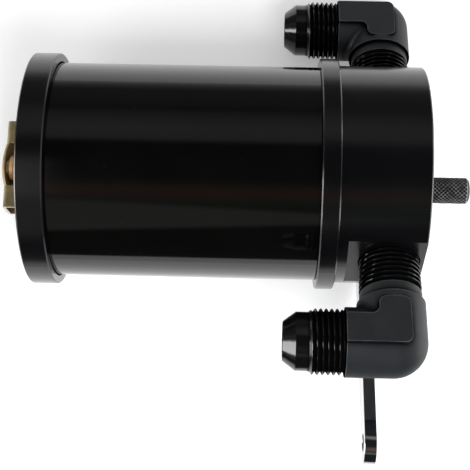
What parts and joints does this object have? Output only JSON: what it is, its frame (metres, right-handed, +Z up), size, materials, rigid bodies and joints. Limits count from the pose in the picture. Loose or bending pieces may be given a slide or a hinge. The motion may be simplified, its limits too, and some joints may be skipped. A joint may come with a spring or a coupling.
{
  "type": "oil catch can",
  "caption": "Round oil catch can with a turned lid and base, forged side elbows with flare ends, a pull-out dipstick, a drain petcock with a folded wing handle and a side bracket.",
  "frame": {"origin": "centre of the bracket's bolt hole, on the underside of its ear", "axes": "+Z up along the can towards its lid, +X from the can towards the bracket ear, +Y to the side the bracket is on"},
  "size_m": [0.1746, 0.0868, 0.1636],
  "materials": {
    "tube_black": "gloss black anodised",
    "satin_black": "satin black anodised, turned",
    "fitting_black": "matte black anodised over a blasted forging",
    "knob_black": "black anodised, knurled",
    "bracket_black": "gloss black coat",
    "dark_steel": "black oxide",
    "bare_steel": "bare",
    "bare_aluminium": "bare, sheared and drilled",
    "mesh_steel": "packed wire",
    "brass": "machined",
    "zinc_yellow": "yellow zinc plate, sheared edges",
    "seal_rubber": "moulded"
  },
  "bodies": {
    "can": {"body_tube": "tube_black", "lid": "satin_black", "base_cap": "satin_black", "lid_seal": "seal_rubber", "base_seal": "seal_rubber", "outlet_elbow": "fitting_black", "inlet_elbow": "fitting_black", "petcock_body": "brass", "bracket": "bracket_black", "bracket_screws": "dark_steel", "bracket_washers": "dark_steel", "baffle_posts": "bare_aluminium", "baffle_plate": "bare_aluminium", "baffle_screws": "bare_steel", "mesh_pad": "mesh_steel"},
    "dipstick": {"dipstick_knob": "knob_black", "dipstick_rod": "bare_steel", "dipstick_seal": "seal_rubber"},
    "drain": {"petcock_stem": "brass", "petcock_seal": "seal_rubber", "petcock_handle": "zinc_yellow"}
  },
  "joints": [
    {"name": "dipstick_slide", "type": "slide", "parent": "can", "child": "dipstick", "axis": [0, 0, 1], "range_m": [0, 0.135]},
    {"name": "drain_turn", "type": "hinge", "parent": "can", "child": "drain", "pos_m": [-0.08685, -0.0382, -0.11835], "axis": [0, 0, -1], "range_deg": [0, 450]}
  ]
}
